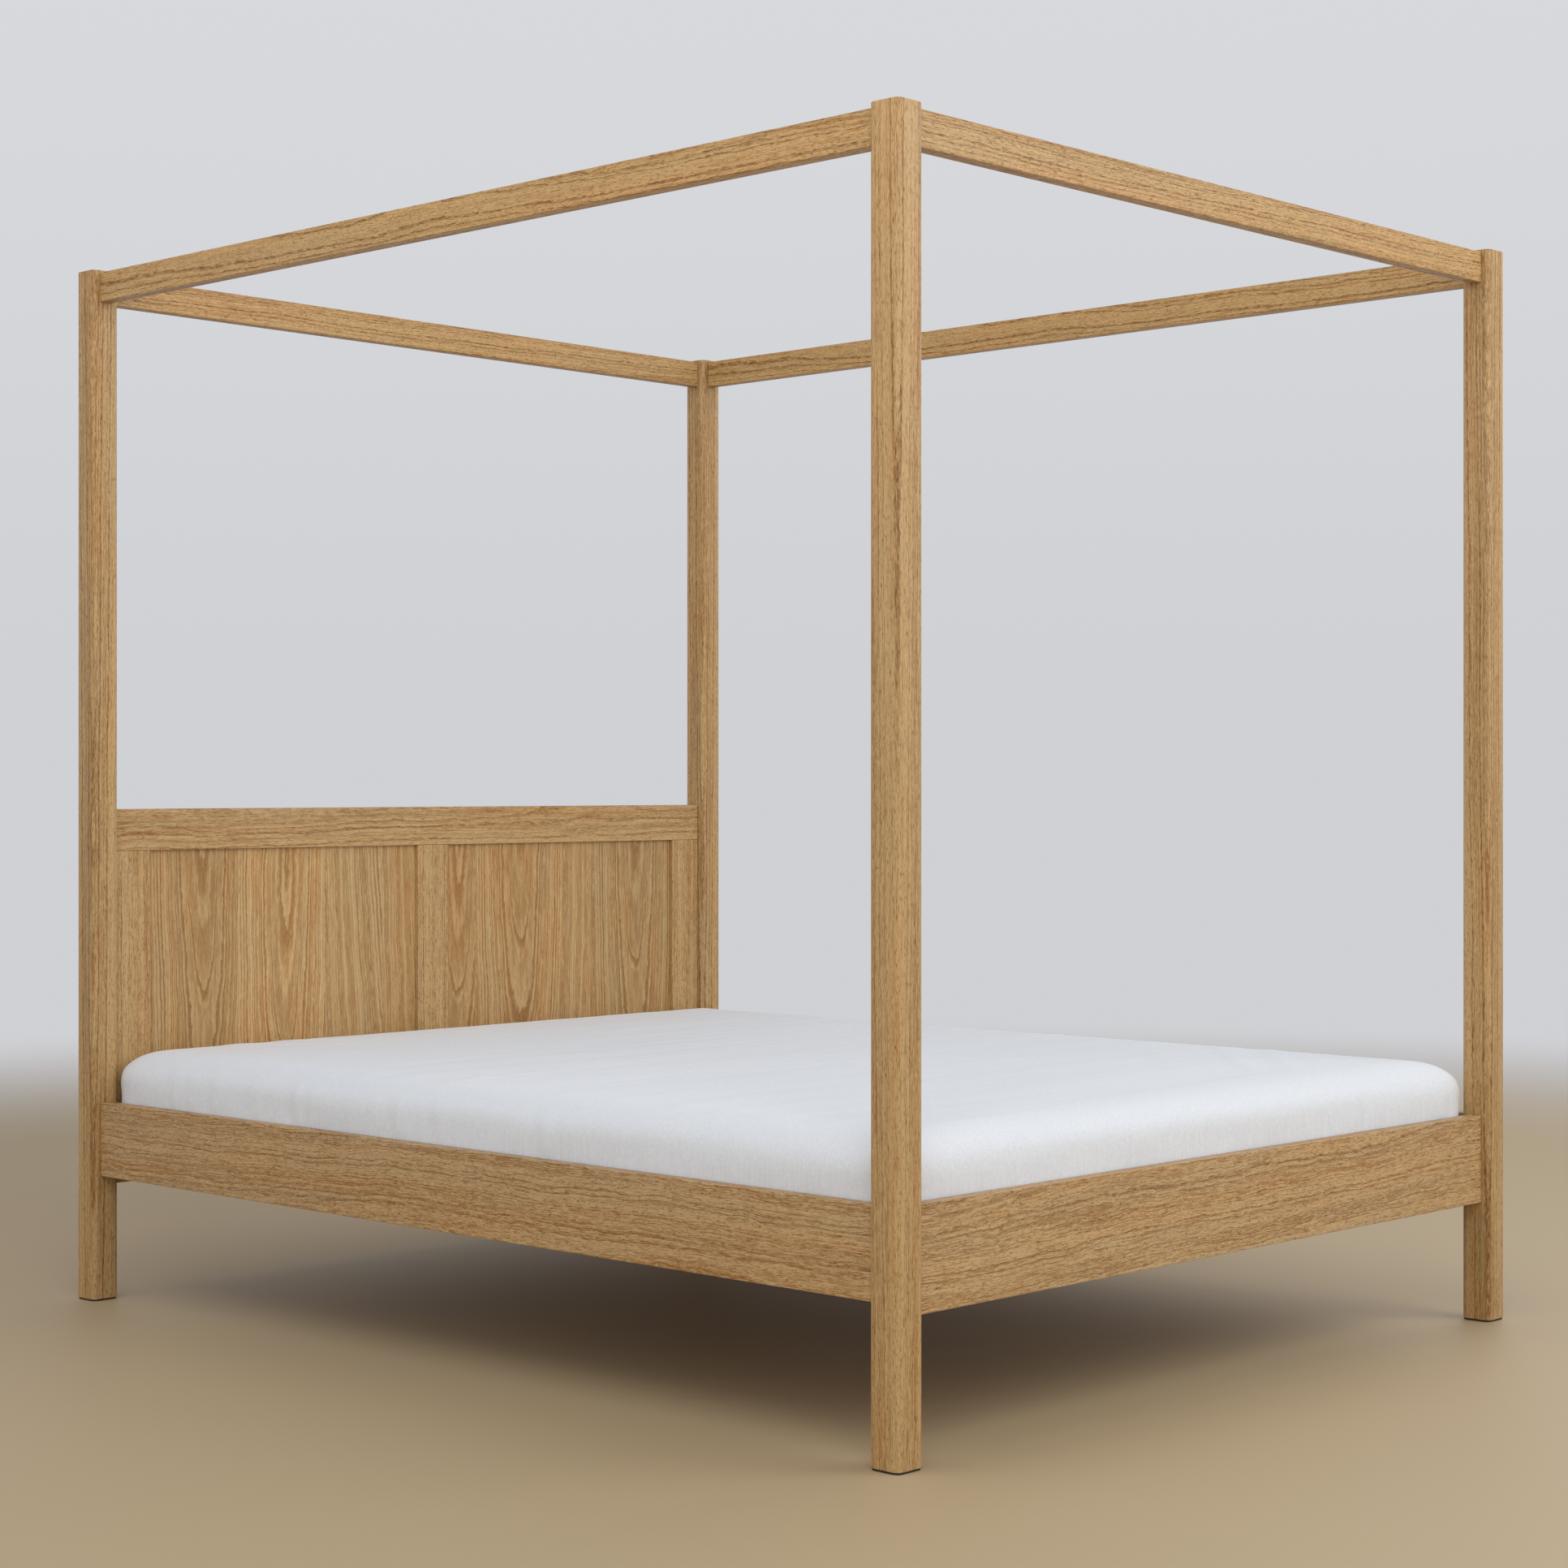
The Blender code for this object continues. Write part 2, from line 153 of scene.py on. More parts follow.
def join(tree, bsdf, **outputs):
    """Links outputs to the shader's inputs by name."""
    for key, value in outputs.items():
        tree.tree.links.new(value, socket(bsdf, key))


def bump(tree, bsdf, height, distance):
    """Links a height, from 0 to 1, to the shader's normal. distance is the depth of 1, in metres."""
    inputs = {"Height": height, "Distance": distance, "Strength": 1.0}
    tree.tree.links.new(tree.add("ShaderNodeBump", inputs), bsdf.inputs["Normal"])


def place(tree):
    """The surface point in the row frame, which moves with its body."""
    return tree.add("ShaderNodeTexCoord", output="Object")


def colour(red, green, blue):
    """A colour given in sRGB, from 0 to 255, as the linear values that shaders take."""
    levels = [c / 255 for c in (red, green, blue)]
    return [c / 12.92 if c <= 0.04045 else ((c + 0.055) / 1.055) ** 2.4 for c in levels] + [1]


def to_object(name, mesh, smooth=True):
    """An object in the scene, made from a bmesh, which is freed."""
    data = bpy.data.meshes.new(name)
    mesh.to_mesh(data)
    mesh.free()
    if smooth:
        data.shade_smooth()
    obj = bpy.data.objects.new(name, data)
    bpy.context.scene.collection.objects.link(obj)
    return obj


# ---------------------------------------------------------------- wood

PALE_OAK = colour(211, 179, 127)
MID_OAK = colour(158, 114, 61)
WARM_OAK = colour(189, 135, 71)
GREY_OAK = colour(175, 143, 95)
PORE_OAK = colour(168, 134, 58)
WIDE_AT = 0.1  # how far from the pith the rings' spacing is given


def oak_group():
    """Solid oak: rings round a pith at X 0, Y 0 that runs along Z, with pores, fibres and drifts of tone.

    Place is a point in metres in the log, so every face of a board shows the figure that a cut there would.
    Spacing is the width of the rings and Wave how far they wander, in metres. Contrast darkens the pores,
    Bands the dense wood beside them and Grain the fibres and flecks, and Warmth shifts the drifts of tone.
    """
    group = bpy.data.node_groups.new("oak", "ShaderNodeTree")
    group.interface.new_socket("Place", in_out="INPUT", socket_type="NodeSocketVector")
    for name in ("Spacing", "Wave", "Contrast", "Bands", "Grain", "Warmth"):
        group.interface.new_socket(name, in_out="INPUT", socket_type="NodeSocketFloat")
    for name, kind in (("Colour", "Color"), ("Roughness", "Float"), ("Height", "Float")):
        group.interface.new_socket(name, in_out="OUTPUT", socket_type="NodeSocket" + kind)
    tree = Tree(group)
    given = group.nodes.new("NodeGroupInput").outputs
    point, spacing, wave = given["Place"], given["Spacing"], given["Wave"]

    # The trunk wanders, which makes the lines wavy and closes them into cathedrals and islands.
    wander = tree.wobble(point, (4, 4, 1.7), 1.0)
    wander = tree.vector("ADD", wander, tree.wobble(point, (11, 11, 6.0), 0.36))
    wander = tree.vector("ADD", wander, tree.wobble(point, (36, 36, 15), 0.2))
    wander = tree.add("ShaderNodeVectorMath", {0: wander, "Scale": wave}, operation="SCALE")
    point = tree.vector("ADD", point, wander)

    # The rings are wider towards the pith, and some years grow more than others.
    narrowing = 1.6
    flat = tree.vector("MULTIPLY", point, (1 / WIDE_AT, 1 / WIDE_AT, 0))
    radius = tree.vector("LENGTH", flat, output="Value")
    rings = tree.math("DIVIDE", tree.math("POWER", radius, narrowing), spacing)
    rings = tree.math("MULTIPLY", rings, WIDE_AT / narrowing)
    uneven = tree.by_ring(rings, 0.4, 1.0)
    zones = tree.smooth(tree.by_ring(rings, 0.2, 1.0), 0.35, 0.65, -0.22, 0.22)
    rings = tree.math("MULTIPLY_ADD", uneven, 3.2, rings)
    ragged = tree.noise(point, (200, 200, 45), 2.0, 0.6)
    rings = tree.math("MULTIPLY_ADD", ragged, 0.7, rings)
    phase = tree.math("FRACT", rings)
    strong = tree.smooth(tree.by_ring(rings, 0.9, 0.0), 0.3, 0.65, 0.25, 0.95)
    line = tree.ramp(phase, [(0, 0.8), (0.08, 1), (0.34, 0.15), (0.9, 0), (1, 0.8)])
    line = tree.math("MULTIPLY", line, strong)
    band = tree.ramp(phase, [(0, 0.7), (0.12, 1), (0.55, 0.25), (0.85, 0), (1, 0.7)])
    band = tree.math("MULTIPLY", band, strong)

    # Pores crowd along each ring's line as short dark ticks, and a few stray between the lines.
    ticks = tree.smooth(tree.noise(point, (900, 900, 75), 2.0), 0.38, 0.62)
    stray = tree.smooth(tree.noise(point, (1150, 1150, 110), 2.0), 0.53, 0.72, 0.0, 0.9)
    stray = tree.math("MULTIPLY", stray, given["Grain"])
    pores = tree.math("MAXIMUM", tree.math("MULTIPLY", ticks, line), stray)
    fibres = tree.noise(point, (560, 560, 7), 3.0, 0.7)
    mottle = tree.noise(point, (520, 520, 45), 2.0, 0.6)
    streaks = tree.noise(point, (150, 150, 2.5), 2.0)
    drift = tree.noise(point, (30, 30, 1.6), 3.0, 0.5)

    dark = tree.math("MULTIPLY_ADD", band, given["Bands"], 0.16)
    dark = tree.math("ADD", dark, tree.math("MULTIPLY", zones, tree.smooth(streaks, 0.3, 0.7, 0.5, 1.3)))
    fine = tree.smooth(fibres, 0.28, 0.72, -0.42, 0.42)
    fine = tree.math("ADD", fine, tree.smooth(mottle, 0.28, 0.72, -0.35, 0.35))
    dark = tree.math("MULTIPLY_ADD", fine, given["Grain"], dark)
    dark = tree.math("ADD", dark, tree.smooth(streaks, 0.3, 0.7, -0.2, 0.2), clamp=True)
    shade = tree.mix(dark, PALE_OAK, MID_OAK)
    warm = tree.smooth(drift, 0.35, 0.65, -0.1, 0.7)
    warm = tree.math("ADD", warm, given["Warmth"], clamp=True)
    tint = tree.mix(warm, GREY_OAK, WARM_OAK)
    shade = tree.mix(0.35, shade, tint)
    strength = tree.math("MULTIPLY", tree.math("MULTIPLY", pores, 0.8), given["Contrast"], clamp=True)
    shade = tree.mix(strength, shade, PORE_OAK, "MULTIPLY")

    out = group.nodes.new("NodeGroupOutput").inputs
    group.links.new(shade, out["Colour"])
    group.links.new(tree.smooth(pores, 0, 1, 0.44, 0.62), out["Roughness"])
    height = tree.math("SUBTRACT", tree.math("MULTIPLY", fibres, 0.25), tree.math("MULTIPLY", pores, 0.75))
    group.links.new(tree.math("ADD", height, 0.75), out["Height"])
    return group


OAK = oak_group()
ALONG = {"X": Euler((0, -math.pi / 2, 0)), "Y": Euler((math.pi / 2, 0, 0)), "Z": Euler((0, 0, 0))}
LOG_STEP = 3.7  # how far along the log each board is cut from the one before
LACQUER = {"specular_ior_level": 0.35, "coat_weight": 0.06, "coat_roughness": 0.35}

# The figure of each kind of board: settings of the oak above
PLAIN = {"Spacing": 0.004, "Wave": 0.01, "Contrast": 1.0, "Bands": 0.4, "Grain": 1.0, "Warmth": 0.1}
POST = PLAIN | {"Spacing": 0.0078, "Wave": 0.009, "Contrast": 1.35, "Bands": 0.6}
NEAR_POST = POST | {"Spacing": 0.0064}
CANOPY_RAIL = PLAIN | {"Spacing": 0.0050, "Wave": 0.018, "Contrast": 1.5, "Bands": 0.5, "Grain": 1.1}
SIDE_RAIL = PLAIN | {"Spacing": 0.0060, "Wave": 0.034, "Contrast": 0.95, "Bands": 0.65, "Grain": 1.55}
FOOT_RAIL = SIDE_RAIL | {"Wave": 0.037}
HEAD_RAIL = PLAIN | {"Spacing": 0.0048, "Wave": 0.016, "Contrast": 1.1, "Bands": 0.5, "Grain": 1.1}
STILE = PLAIN | {"Spacing": 0.0066, "Wave": 0.008, "Contrast": 1.2, "Bands": 0.5, "Grain": 1.2}
SLAT = PLAIN | {"Contrast": 0.6, "Warmth": -0.4}
BEAM = PLAIN | {"Spacing": 0.005, "Contrast": 0.8, "Warmth": -0.2}
FLAT_CUT = {"Spacing": 0.0050, "Wave": 0.022, "Contrast": 0.7, "Bands": 1.45, "Grain": 0.5}


def in_log(tree, centre, axis, pith, tilt, board):
    """Row-frame points turned into points in the log, for a board cut with its grain along axis.

    pith is where the board's middle lies from the pith, across the grain, and tilt how far the grain leans.
    """
    turn = Euler((tilt[0], tilt[1], 0)).to_matrix() @ ALONG[axis].to_matrix()
    start = Vector((pith[0], pith[1], board * LOG_STEP)) - turn @ Vector(centre)
    inputs = {"Vector": place(tree), "Location": start, "Rotation": turn.to_euler()}
    return tree.add("ShaderNodeMapping", inputs)


def middle(node):
    """The middle of a CAD node's box."""
    low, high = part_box(node)
    return (low + high) / 2


def cut_oak(tree, point, figure):
    """Oak cut at a point in the log, with the figure's settings."""
    cut = tree.tree.nodes.new("ShaderNodeGroup")
    cut.node_tree = OAK
    tree.tree.links.new(point, cut.inputs["Place"])
    for name, value in figure.items():
        cut.inputs[name].default_value = value
    return cut


def oak(node, axis, board, pith, tilt, figure, tone=(1, 1, 1)):
    """Gives a CAD node its own cut of oak, toned by a factor for red, green and blue."""
    made, tree, bsdf = material("oak_" + node, **LACQUER)
    cut = cut_oak(tree, in_log(tree, middle(node), axis, pith, tilt, board), figure)
    toned = tree.vector("MULTIPLY", cut.outputs["Colour"], tone)
    join(tree, bsdf, base_color=toned, roughness=cut.outputs["Roughness"])
    bump(tree, bsdf, cut.outputs["Height"], 0.00014)
    paint(node, made)


def paint(node, made):
    """Puts one material in all of a CAD node's slots."""
    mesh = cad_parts[node].data
    mesh.materials.clear()
    mesh.materials.append(made)


for board, corner in enumerate(("foot_left", "foot_right", "head_left", "head_right")):
    figure, tone = (NEAR_POST, (0.98, 0.97, 0.96)) if corner == "foot_left" else (POST, (0.95, 0.95, 0.95))
    oak(f"post_{corner}", "Z", board, (0.17, 0.14), (0.006, -0.004), figure, tone)
for board, side in enumerate(("left", "right", "foot", "head"), 4):
    axis = "Y" if side in ("left", "right") else "X"
    tone = (0.98, 0.95, 0.89)
    oak(f"canopy_rail_{side}", axis, board, (0.10, 0.05), (0.008, 0.012), CANOPY_RAIL, tone)
for board, (side, sign) in enumerate((("left", -1), ("right", 1)), 8):
    pith = (sign * 0.035, -0.085)
    oak(f"side_rail_{side}", "Y", board, pith, (0.01, 0.004), SIDE_RAIL, (1.00, 1.02, 1.12))
oak("foot_rail", "X", 10, (0.100, -0.035), (0.004, 0.02), FOOT_RAIL, (1.02, 1.05, 1.17))
for board, level in enumerate(("top", "bottom"), 11):
    tone = (0.97, 0.96, 0.97)
    oak(f"headboard_{level}_rail", "X", board, (0.04, -0.12), (0.006, 0.006), HEAD_RAIL, tone)
for board, side in enumerate(("left", "centre", "right"), 13):
    tone = (0.97, 0.97, 0.98)
    oak(f"headboard_stile_{side}", "Z", board, (0.19, 0.10), (0.004, 0.005), STILE, tone)
for board, side in enumerate(("left", "right"), 16):
    oak(f"slat_ledger_{side}", "Y", board, (0.1, 0.1), (0.01, 0.01), PLAIN)
oak("centre_beam", "Y", 18, (0.06, 0.05), (0.01, 0.01), BEAM)
for board, slat in enumerate(SLATS, 21):
    oak(slat, "X", board, (0.1, 0.15), (0.01, 0.01), SLAT)

VENEER_TILT = -0.1  # how fast the pith leans away, which makes the flames point down
LEAF_STEP = 1.3  # how far along the log each leaf is cut from the one before
# Each leaf of veneer: its left edge in X, the middle of its flame in X, the pith's depth, warmth and tone
VENEER = {
    "left": (
        (-0.800, -0.600, 0.036, 0.20, 0.94),
        (-0.510, -0.388, 0.026, 0.10, 1.08),
        (-0.287, -0.060, 0.080, -0.10, 1.00),
        (-0.134, 0.100, 0.090, 0.50, 0.96),
    ),
    "right": (
        (0.000, 0.082, 0.032, 0.50, 0.96),
        (0.126, 0.261, 0.040, 0.30, 0.98),
        (0.477, 0.619, 0.034, 0.00, 0.94),
    ),
}


def veneer(side, board):
    """Gives a headboard panel its leaves of flat-cut veneer, side by side."""
    node = f"headboard_panel_{side}"
    low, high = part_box(node)
    made, tree, bsdf = material("oak_veneer_" + side, **LACQUER)
    point = tree.vector("SUBTRACT", place(tree), (0, low.y, (low.z + high.z) / 2))
    split = tree.add("ShaderNodeSeparateXYZ", {0: point}, "X")
    leaves = VENEER[side]
    flame, depth, warmth, tone = leaves[0][1:]
    start = Vector((-flame, depth, board * LOG_STEP))
    for before, leaf in zip(leaves, leaves[1:]):
        past = tree.math("GREATER_THAN", split, leaf[0])
        step = Vector((before[1] - leaf[1], leaf[2] - before[2], LEAF_STEP))
        every = tree.add("ShaderNodeCombineXYZ", {0: past, 1: past, 2: past})
        start = tree.vector("MULTIPLY_ADD", every, step, start)
        warmth = tree.math("MULTIPLY_ADD", past, leaf[3] - before[3], warmth)
        tone = tree.math("MULTIPLY_ADD", past, leaf[4] - before[4], tone)
    lean = tree.add("ShaderNodeMapping", {"Vector": point, "Rotation": (math.atan(-VENEER_TILT), 0, 0)})
    cut = cut_oak(tree, tree.vector("ADD", lean, start), FLAT_CUT)
    tree.tree.links.new(warmth, cut.inputs["Warmth"])
    toned = tree.vector("MULTIPLY", cut.outputs["Colour"], tone)
    join(tree, bsdf, base_color=toned, roughness=cut.outputs["Roughness"])
    bump(tree, bsdf, cut.outputs["Height"], 0.0001)
    paint(node, made)


veneer("left", 40)
veneer("right", 50)

# ---------------------------------------------------------------- fittings


def coated(name, shade, roughness, grain, depth, **shader):
    """A plastic, coated or plated surface: faint uneven tone and a fine grain, 1/grain metres across."""
    made, tree, bsdf = material(name, **shader)
    point = place(tree)
    fine = tree.noise(point, (grain, grain, grain), 2.0)
    cloudy = tree.noise(point, (40, 40, 40), 3.0)
    paler = [min(1, level * 1.35 + 0.01) for level in shade[:3]] + [1]
    spots = tree.math("ADD", tree.math("MULTIPLY", fine, 0.5), tree.math("MULTIPLY", cloudy, 0.5))
    spots = tree.smooth(spots, 0.35, 0.65)
    rough = tree.smooth(cloudy, 0.3, 0.7, roughness - 0.07, roughness + 0.07)
    join(tree, bsdf, base_color=tree.mix(spots, shade, paler), roughness=rough)
    bump(tree, bsdf, fine, depth)
    return made


black_steel = coated("black_powder_coat", colour(26, 26, 28), 0.5, 900, 0.00008)
zinc = coated("zinc_plate", colour(168, 170, 172), 0.36, 1600, 0.00002, metallic=1.0)
black_plastic = coated("black_plastic", colour(24, 24, 25), 0.6, 2500, 0.00004)


TAPE_AT = 0.420  # from the bed's middle to the middle of each tape
EDGE_THREAD = 0.0085  # from the tape's middle to each of its coloured threads
RIB = 0.0018  # from one rib of the weave to the next, along the tape
WARP = 0.0012  # and from one warp thread to the next, across it


def webbing():
    """Off-white woven tape: ribs across it and two coloured threads along its edges."""
    made, tree, bsdf = material("webbing", roughness=0.9, sheen_weight=0.2)
    point = place(tree)
    xyz = tree.tree.nodes.new("ShaderNodeSeparateXYZ")
    tree.tree.links.new(point, xyz.inputs[0])
    ribs = tree.math("SINE", tree.math("MULTIPLY", xyz.outputs["Y"], 2 * math.pi / RIB))
    warp = tree.math("SINE", tree.math("MULTIPLY", xyz.outputs["X"], 2 * math.pi / WARP))
    weave = tree.math("MULTIPLY_ADD", tree.math("MULTIPLY", ribs, warp), 0.5, 0.5)
    from_middle = tree.math("SUBTRACT", tree.math("ABSOLUTE", xyz.outputs["X"]), TAPE_AT)
    edge = tree.math("COMPARE", tree.math("ABSOLUTE", from_middle), EDGE_THREAD, 0.0008)
    shade = tree.mix(weave, colour(178, 172, 160), colour(214, 209, 198))
    join(tree, bsdf, base_color=tree.mix(edge, shade, colour(120, 124, 130)))
    bump(tree, bsdf, weave, 0.0003)
    return made


tape = webbing()
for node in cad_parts:
    if node.startswith(("rail_hook", "canopy_dowel", "leg_lock_nut")):
        paint(node, zinc)
    elif node.startswith(("beam_cradle", "centre_leg")):
        paint(node, black_steel)
    elif node.startswith(("foot_pad", "levelling_foot")):
        paint(node, black_plastic)
    elif node.startswith("slat_tape"):
        paint(node, tape)


SCREW_RADIUS = 0.004
SCREW_RISE = 0.0022
SCREW_SIDES = 16
# The head's profile from its rim to its cross: how far out and how high, as shares of its radius and rise
SCREW_DOME = ((1.0, 0.0), (0.96, 0.45), (0.78, 0.8), (0.5, 0.96), (0.42, 1.0))
SCREW_CROSS = (0.95, 0.35)  # the heights of the cross's edge and its floor


def screw_ring(mesh, centre, turn, shares, up):
    """A ring of points, each at its own share of the screw's radius from its axis."""
    ring = []
    for step, share in enumerate(shares):
        angle = step * 2 * math.pi / SCREW_SIDES
        out = SCREW_RADIUS * share
        at = Vector((math.cos(angle) * out, math.sin(angle) * out, SCREW_RISE * up))
        ring.append(mesh.verts.new(Vector(centre) + turn @ at))
    return ring


def screw_heads(name, places, facing):
    """Domed screw heads with a cross slot, in one piece, lying on a surface that faces one way."""
    mesh = bmesh.new()
    turn = Vector(facing).to_track_quat("Z", "Y").to_matrix()
    cross = [0.4 if step % 4 == 0 else 0.12 for step in range(SCREW_SIDES)]
    for centre in places:
        loops = [screw_ring(mesh, centre, turn, [out] * SCREW_SIDES, up) for out, up in SCREW_DOME]
        loops += [screw_ring(mesh, centre, turn, cross, up) for up in SCREW_CROSS]
        for inner, outer in zip(loops[1:], loops):
            for step in range(SCREW_SIDES):
                after = (step + 1) % SCREW_SIDES
                mesh.faces.new((outer[step], outer[after], inner[after], inner[step]))
        mesh.faces.new(loops[-1])
        mesh.faces.new(loops[0][::-1])
    heads = to_object(name, mesh, smooth=False)
    heads.data.materials.append(zinc)
    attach(heads, "frame")


PLATE = 0.003  # how thick the steel of the cradles and of the leg's flange is

for side, sign in (("left", -1), ("right", 1)):
    low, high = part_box(f"slat_ledger_{side}")
    face = high.x if sign < 0 else low.x
    places = [(face, -0.9 + 0.3 * step, (low.z + high.z) / 2) for step in range(7)]
    screw_heads(f"ledger_screws_{side}", places, (-sign, 0, 0))
for end, sign in (("foot", -1), ("head", 1)):
    low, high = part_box(f"beam_cradle_{end}")
    face = low.y + PLATE if sign < 0 else high.y - PLATE
    places = [(x, face, z) for x in (-0.031, 0.031) for z in (low.z + 0.012, high.z - 0.012)]
    screw_heads(f"cradle_screws_{end}", places, (0, -sign, 0))
low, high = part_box("centre_leg")
middle_y = (low.y + high.y) / 2
places = [(x, middle_y + y, high.z - PLATE) for x in (-0.023, 0.023) for y in (-0.023, 0.023)]
screw_heads("leg_screws", places, (0, 0, -1))


def staples():
    """Two staples through the tape into every slat."""
    mesh = bmesh.new()
    for side in ("left", "right"):
        low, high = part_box(f"slat_tape_{side}")
        for slat in SLATS:
            for shift in (-0.018, 0.018):
                at = Matrix.Translation(((low.x + high.x) / 2, middle(slat).y + shift, low.z - 0.0002))
                size = Matrix.Diagonal((0.011, 0.0013, 0.0007, 1))
                bmesh.ops.create_cube(mesh, size=1, matrix=at @ size)
    bmesh.ops.bevel(mesh, geom=mesh.edges[:], offset=0.0002, segments=2, affect="EDGES")
    made = to_object("tape_staples", mesh, smooth=False)
    made.data.materials.append(zinc)
    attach(made, "frame")


staples()

# ---------------------------------------------------------------- mattress and fitted sheet

COTTON = colour(230, 234, 239)
EDGE_POWER = 1.75  # how squarely the top edge rolls over, where 2 would be an ellipse
CORNER_POWER = 2.9  # the same for the corners in plan
BOTTOM_RISE = 0.02  # how far up the rounding of the bottom edge reaches
SHEET_EDGE = (0.080, 0.050)  # how far the sheet's rolled top edge reaches in and down
CORE_EDGE = (0.077, 0.047)  # and the mattress core's


def superellipse(x, y, power):
    """How far out a point lies, where 1 is on the curve."""
    return (abs(x) ** power + abs(y) ** power) ** (1 / power)


def rounded_box(name, low, high, spacing, edge, top_drop):
    """A closed box of quads, spacing wide, whose top edge rolls over from edge in to top_drop down.

    Points of a gridded box are pulled onto a superellipsoid round an inner box.
    """
    size = high - low
    counts = [max(2, round(length / spacing)) for length in size]
    inner_low = Vector((low.x + edge, low.y + edge, low.z + BOTTOM_RISE))
    inner_high = Vector((high.x - edge, high.y - edge, high.z - top_drop))
    mesh = bmesh.new()
    found = {}

    def corner(i, j, k):
        key = (i, j, k)
        if key not in found:
            flat = Vector(low[a] + size[a] * key[a] / counts[a] for a in range(3))
            near = Vector(min(max(flat[a], inner_low[a]), inner_high[a]) for a in range(3))
            away = flat - near
            drop = top_drop if away.z > 0 else BOTTOM_RISE
            plan = superellipse(away.x / edge, away.y / edge, CORNER_POWER)
            norm = superellipse(plan, away.z / drop, EDGE_POWER)
            found[key] = mesh.verts.new(near + away / norm if norm > 1e-9 else flat)
        return found[key]

    for axis in range(3):
        a, b = [(1, 2), (2, 0), (0, 1)][axis]
        for end in (0, counts[axis]):
            for p in range(counts[a]):
                for q in range(counts[b]):
                    keys = []
                    for dp, dq in ((0, 0), (1, 0), (1, 1), (0, 1)):
                        key = [0, 0, 0]
                        key[axis], key[a], key[b] = end, p + dp, q + dq
                        keys.append(tuple(key))
                    if end == 0:
                        keys.reverse()
                    mesh.faces.new([corner(*key) for key in keys])
    return to_object(name, mesh)


TOP_EDGE = (0.484, 0.491)  # the heights between which the press creases appear, just under the top


def sheet_material():
    """White cotton, plainly woven from slightly uneven threads, with faint press creases across the top,
    bumped and with painted shade along them.
    """
    made, tree, bsdf = material("white_cotton", roughness=0.85, sheen_weight=0.12, sheen_roughness=0.5)
    point = place(tree)
    threads = []
    for scale in ((1500, 150, 150), (150, 1500, 150), (150, 150, 1500)):
        threads.append(tree.noise(point, scale, 1.0))
    weave = tree.math("ADD", tree.math("ADD", threads[0], threads[1]), threads[2])
    weave = tree.math("DIVIDE", weave, 3.0)
    slubs = tree.smooth(tree.noise(point, (380, 380, 16), 2.0), 0.3, 0.7, 0.0, 0.6)
    shade = tree.math("ADD", tree.smooth(weave, 0.38, 0.62, -0.2, 0.6), slubs, clamp=True)

    # The press creases run across the bed and stop at the edge of the top. They are bumped, and painted
    # shade darkens the colour along them.
    across = tree.vector("MULTIPLY", tree.wobble(point, (1.5, 1.5, 0), 0.12), (0, 1, 0))
    across = tree.vector("ADD", point, across)
    creases_and_painted_shade = tree.smooth(tree.noise(across, (1.3, 30, 1.0), 1.0), 0.46, 0.68)
    height = tree.add("ShaderNodeSeparateXYZ", {0: point}, "Z")
    creases_and_painted_shade = tree.math("MULTIPLY", creases_and_painted_shade, tree.smooth(height, *TOP_EDGE))
    # Painted shade: the cotton's colour is darkened along the press creases, where shade would fall.
    shade = tree.math("SUBTRACT", shade, tree.math("MULTIPLY", creases_and_painted_shade, 0.25), clamp=True)
    join(tree, bsdf, base_color=tree.mix(shade, colour(220, 224, 229), COTTON))
    weave = tree.math("MULTIPLY_ADD", slubs, 0.7, weave)
    bump(tree, bsdf, tree.math("MULTIPLY_ADD", creases_and_painted_shade, 3.0, weave), 0.0002)
    return made


DIAMOND = 0.1  # how wide and long the quilted diamonds are


def ticking_material():
    """The mattress's own cover: a pale knit, quilted in diamonds, which only shows from below. Painted
    shade darkens it along the quilted grooves.
    """
    made, tree, bsdf = material("ticking", roughness=0.9, sheen_weight=0.1)
    point = place(tree)
    rows = []
    for y in (1.0, -1.0):
        along = tree.vector("DOT_PRODUCT", point, (1 / DIAMOND, y / DIAMOND, 0), output="Value")
        rows.append(tree.math("ABSOLUTE", tree.math("SUBTRACT", tree.math("FRACT", along), 0.5)))
    groove_and_painted_shade = tree.smooth(tree.math("MINIMUM", rows[0], rows[1]), 0.0, 0.16)
    knit = tree.noise(point, (1400, 1400, 1400), 2.0)
    shade = tree.mix(knit, colour(206, 205, 200), colour(226, 225, 221))
    # Painted shade: the colour darkens towards each quilted groove, over the same width as its bump.
    join(tree, bsdf, base_color=tree.mix(groove_and_painted_shade, colour(192, 191, 187), shade))
    bump(tree, bsdf, tree.math("MULTIPLY_ADD", knit, 0.04, groove_and_painted_shade), 0.003)
    return made


HEM_IN = 0.085  # how far under the mattress the fitted sheet is tucked
SHEET_GAP = 0.005  # between the mattress core and the sheet
CLOTH_FRAMES = 18
HELD_UP_TO = 0.03  # the height of the sheet's lowest part, which is held while it settles
LOOSE_ABOVE = 0.42  # the height above which the sheet may move by LOOSE instead of SNUG
SNUG = 0.0015
LOOSE = 0.0025


def tucked_sheet(low, high):
    """The fitted sheet before it settles: top, sides and a strip tucked under, open in the middle below."""
    sheet = rounded_box("fitted_sheet", low, high, 0.018, *SHEET_EDGE)
    mesh = bmesh.new()
    mesh.from_mesh(sheet.data)
    under = []
    for face in mesh.faces:
        at = face.calc_center_median()
        inside = min(at.x - low.x, high.x - at.x, at.y - low.y, high.y - at.y)
        if at.z < low.z + 0.001 and inside > HEM_IN:
            under.append(face)
    bmesh.ops.delete(mesh, geom=under, context="FACES")
    mesh.to_mesh(sheet.data)
    mesh.free()
    return sheet


